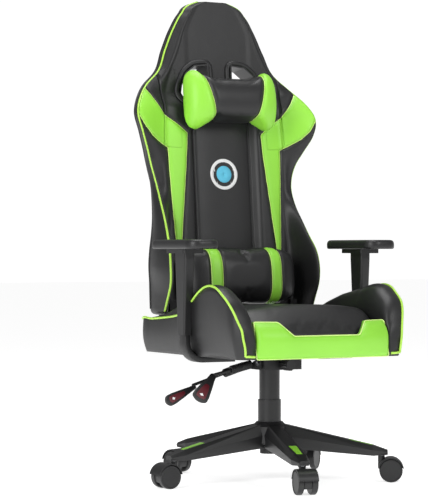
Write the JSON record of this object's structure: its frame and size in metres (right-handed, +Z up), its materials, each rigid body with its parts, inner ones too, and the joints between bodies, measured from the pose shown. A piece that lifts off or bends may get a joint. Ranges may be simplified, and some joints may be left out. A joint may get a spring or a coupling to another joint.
{
  "type": "gaming chair",
  "caption": "High-back racing-style chair with castor base, gas lift, tilt mechanism, height-adjustable armrests, reclining back and two pillows.",
  "frame": {"origin": "on the floor, on the axis of the gas lift", "axes": "+Z up, the sitter faces -Y, +X is the sitter's left"},
  "size_m": [0.6571, 0.6862, 1.277],
  "materials": {
    "nylon": "moulded glass-filled nylon, satin",
    "steel": "plain steel",
    "black_steel": "black powder coat",
    "black_leather": "soft satin PU leather",
    "green_leather": "soft satin PU leather",
    "green_plastic": "glossy insert",
    "soft_black_plastic": "polyurethane pad, satin",
    "white_plastic": "acetal bush"
  },
  "bodies": {
    "base": {"star_base": "nylon", "leg_inserts": "green_plastic", "lift_outer_tube": "black_steel", "lift_guide_bush": "white_plastic", "dust_cover_lower": "nylon"},
    "cover_middle": {"dust_cover_middle": "nylon"},
    "column_rod": {"piston_rod": "steel"},
    "mechanism": {"lift_cylinder": "steel", "dust_cover_upper": "nylon", "mechanism_housing": "black_steel", "tilt_shaft": "steel", "tension_bolt": "steel"},
    "valve": {"valve_pin": "steel"},
    "height_lever": {"height_lever_rod": "steel", "height_lever_paddle": "nylon"},
    "tilt_lever": {"tilt_lever_rod": "steel", "tilt_lever_paddle": "nylon"},
    "tension_knob": {"tension_knob": "nylon"},
    "seat": {"seat_plate": "black_steel", "seat_frame": "black_steel", "seat_bolts": "steel", "seat_cushion": "black_leather", "seat_bolster_left": "black_leather", "seat_bolster_right": "black_leather", "seat_front_panel": "green_leather", "armrest_bracket_left": "black_steel", "armrest_bracket_right": "black_steel", "hinge_plates": "black_steel"},
    "armrest_left": {"armrest_sleeve_left": "nylon", "armrest_pad_left": "soft_black_plastic"},
    "armrest_right": {"armrest_sleeve_right": "nylon", "armrest_pad_right": "soft_black_plastic"},
    "button_left": {"armrest_button_left": "nylon"},
    "button_right": {"armrest_button_right": "nylon"},
    "back": {"back_frame": "black_steel", "back_shell": "black_leather", "strap_rims": "nylon"},
    "recline_handle": {"recline_handle": "nylon"},
    "neck_pillow": {"neck_pillow": "black_leather"},
    "lumbar_pillow": {"lumbar_pillow": "black_leather"},
    "caster_1": {"caster_hood_1": "nylon", "caster_pins_1": "steel"},
    "caster_1_wheel_left": {"wheel_left_1": "nylon"},
    "caster_1_wheel_right": {"wheel_right_1": "nylon"},
    "caster_2": {"caster_hood_2": "nylon", "caster_pins_2": "steel"},
    "caster_2_wheel_left": {"wheel_left_2": "nylon"},
    "caster_2_wheel_right": {"wheel_right_2": "nylon"},
    "caster_3": {"caster_hood_3": "nylon", "caster_pins_3": "steel"},
    "caster_3_wheel_left": {"wheel_left_3": "nylon"},
    "caster_3_wheel_right": {"wheel_right_3": "nylon"},
    "caster_4": {"caster_hood_4": "nylon", "caster_pins_4": "steel"},
    "caster_4_wheel_left": {"wheel_left_4": "nylon"},
    "caster_4_wheel_right": {"wheel_right_4": "nylon"},
    "caster_5": {"caster_hood_5": "nylon", "caster_pins_5": "steel"},
    "caster_5_wheel_left": {"wheel_left_5": "nylon"},
    "caster_5_wheel_right": {"wheel_right_5": "nylon"}
  },
  "joints": [
    {"name": "seat_swivel", "type": "hinge", "parent": "base", "child": "column_rod", "pos_m": [0, 0, 0.1], "axis": [0, 0, 1], "continuous": true},
    {"name": "seat_height", "type": "slide", "parent": "column_rod", "child": "mechanism", "axis": [0, 0, 1], "range_m": [0, 0.08]},
    {"name": "cover_middle_slide", "type": "slide", "parent": "base", "child": "cover_middle", "axis": [0, 0, 1], "range_m": [0, 0.04]},
    {"name": "height_lever_lift", "type": "hinge", "parent": "mechanism", "child": "height_lever", "pos_m": [-0.04, 0, 0.306], "axis": [0, 1, 0], "range_deg": [0, 6], "stiffness_Nm_per_rad": 8, "springref_deg": -5.73},
    {"name": "valve_press", "type": "slide", "parent": "mechanism", "child": "valve", "axis": [0, 0, -1], "range_m": [0, 0.005], "stiffness_N_per_m": 1500, "springref_m": -0.002},
    {"name": "tilt_lever_lift", "type": "hinge", "parent": "mechanism", "child": "tilt_lever", "pos_m": [-0.04, 0.038, 0.3005], "axis": [0, 1, 0], "range_deg": [0, 8], "stiffness_Nm_per_rad": 8, "springref_deg": -5.73},
    {"name": "tension_turn", "type": "hinge", "parent": "mechanism", "child": "tension_knob", "pos_m": [0, -0.09, 0.306], "axis": [0, -1, 0], "continuous": true},
    {"name": "seat_tilt", "type": "hinge", "parent": "mechanism", "child": "seat", "pos_m": [0, -0.045, 0.308], "axis": [-1, 0, 0], "range_deg": [0, 12], "stiffness_Nm_per_rad": 400, "springref_deg": -22.92},
    {"name": "armrest_left_height", "type": "slide", "parent": "seat", "child": "armrest_left", "axis": [0, 0, 1], "range_m": [0, 0.07]},
    {"name": "armrest_right_height", "type": "slide", "parent": "seat", "child": "armrest_right", "axis": [0, 0, 1], "range_m": [0, 0.07]},
    {"name": "button_left_press", "type": "slide", "parent": "armrest_left", "child": "button_left", "axis": [0, -1, 0], "range_m": [0, 0.003], "stiffness_N_per_m": 400, "springref_m": -0.002},
    {"name": "button_right_press", "type": "slide", "parent": "armrest_right", "child": "button_right", "axis": [0, -1, 0], "range_m": [0, 0.003], "stiffness_N_per_m": 400, "springref_m": -0.002},
    {"name": "back_recline", "type": "hinge", "parent": "seat", "child": "back", "pos_m": [0, 0.2, 0.4], "axis": [-1, 0, 0], "range_deg": [0, 50]},
    {"name": "recline_handle_lift", "type": "hinge", "parent": "seat", "child": "recline_handle", "pos_m": [0.25, 0.2, 0.4], "axis": [-1, 0, 0], "range_deg": [0, 20], "stiffness_Nm_per_rad": 2, "springref_deg": -11.46},
    {"name": "neck_pillow_slide", "type": "slide", "parent": "back", "child": "neck_pillow", "axis": [0, 0.0958, 0.9954], "range_m": [-0.04, 0.03]},
    {"name": "lumbar_pillow_slide", "type": "slide", "parent": "back", "child": "lumbar_pillow", "axis": [0, 0.0958, 0.9954], "range_m": [0, 0.1]},
    {"name": "caster_1_swivel", "type": "hinge", "parent": "base", "child": "caster_1", "pos_m": [0.24553, -0.15432, 0.07], "axis": [0, 0, 1], "continuous": true},
    {"name": "caster_1_roll_left", "type": "hinge", "parent": "caster_1", "child": "caster_1_wheel_left", "pos_m": [0.26627, -0.16736, 0.03], "axis": [0.5321, 0.8467, 0], "continuous": true},
    {"name": "caster_1_roll_right", "type": "hinge", "parent": "caster_1", "child": "caster_1_wheel_right", "pos_m": [0.26627, -0.16736, 0.03], "axis": [0.5321, 0.8467, 0], "continuous": true},
    {"name": "caster_2_swivel", "type": "hinge", "parent": "base", "child": "caster_2", "pos_m": [0.22264, 0.18583, 0.07], "axis": [0, 0, 1], "continuous": true},
    {"name": "caster_2_roll_left", "type": "hinge", "parent": "caster_2", "child": "caster_2_wheel_left", "pos_m": [0.24145, 0.20153, 0.03], "axis": [-0.6408, 0.7677, 0], "continuous": true},
    {"name": "caster_2_roll_right", "type": "hinge", "parent": "caster_2", "child": "caster_2_wheel_right", "pos_m": [0.24145, 0.20153, 0.03], "axis": [-0.6408, 0.7677, 0], "continuous": true},
    {"name": "caster_3_swivel", "type": "hinge", "parent": "base", "child": "caster_3", "pos_m": [-0.10793, 0.26917, 0.07], "axis": [0, 0, 1], "continuous": true},
    {"name": "caster_3_roll_left", "type": "hinge", "parent": "caster_3", "child": "caster_3_wheel_left", "pos_m": [-0.11705, 0.29191, 0.03], "axis": [-0.9282, -0.3722, 0], "continuous": true},
    {"name": "caster_3_roll_right", "type": "hinge", "parent": "caster_3", "child": "caster_3_wheel_right", "pos_m": [-0.11705, 0.29191, 0.03], "axis": [-0.9282, -0.3722, 0], "continuous": true},
    {"name": "caster_4_swivel", "type": "hinge", "parent": "base", "child": "caster_4", "pos_m": [-0.28935, -0.01947, 0.07], "axis": [0, 0, 1], "continuous": true},
    {"name": "caster_4_roll_left", "type": "hinge", "parent": "caster_4", "child": "caster_4_wheel_left", "pos_m": [-0.31379, -0.02112, 0.03], "axis": [0.0671, -0.9977, 0], "continuous": true},
    {"name": "caster_4_roll_right", "type": "hinge", "parent": "caster_4", "child": "caster_4_wheel_right", "pos_m": [-0.31379, -0.02112, 0.03], "axis": [0.0671, -0.9977, 0], "continuous": true},
    {"name": "caster_5_swivel", "type": "hinge", "parent": "base", "child": "caster_5", "pos_m": [-0.07089, -0.2812, 0.07], "axis": [0, 0, 1], "continuous": true},
    {"name": "caster_5_roll_left", "type": "hinge", "parent": "caster_5", "child": "caster_5_wheel_left", "pos_m": [-0.07688, -0.30496, 0.03], "axis": [0.9697, -0.2445, 0], "continuous": true},
    {"name": "caster_5_roll_right", "type": "hinge", "parent": "caster_5", "child": "caster_5_wheel_right", "pos_m": [-0.07688, -0.30496, 0.03], "axis": [0.9697, -0.2445, 0], "continuous": true}
  ],
  "couplings": [
    {"joint": "cover_middle_slide", "follows": "seat_height", "ratio": 0.5},
    {"joint": "valve_press", "follows": "height_lever_lift", "m_per_rad": 0.047}
  ]
}
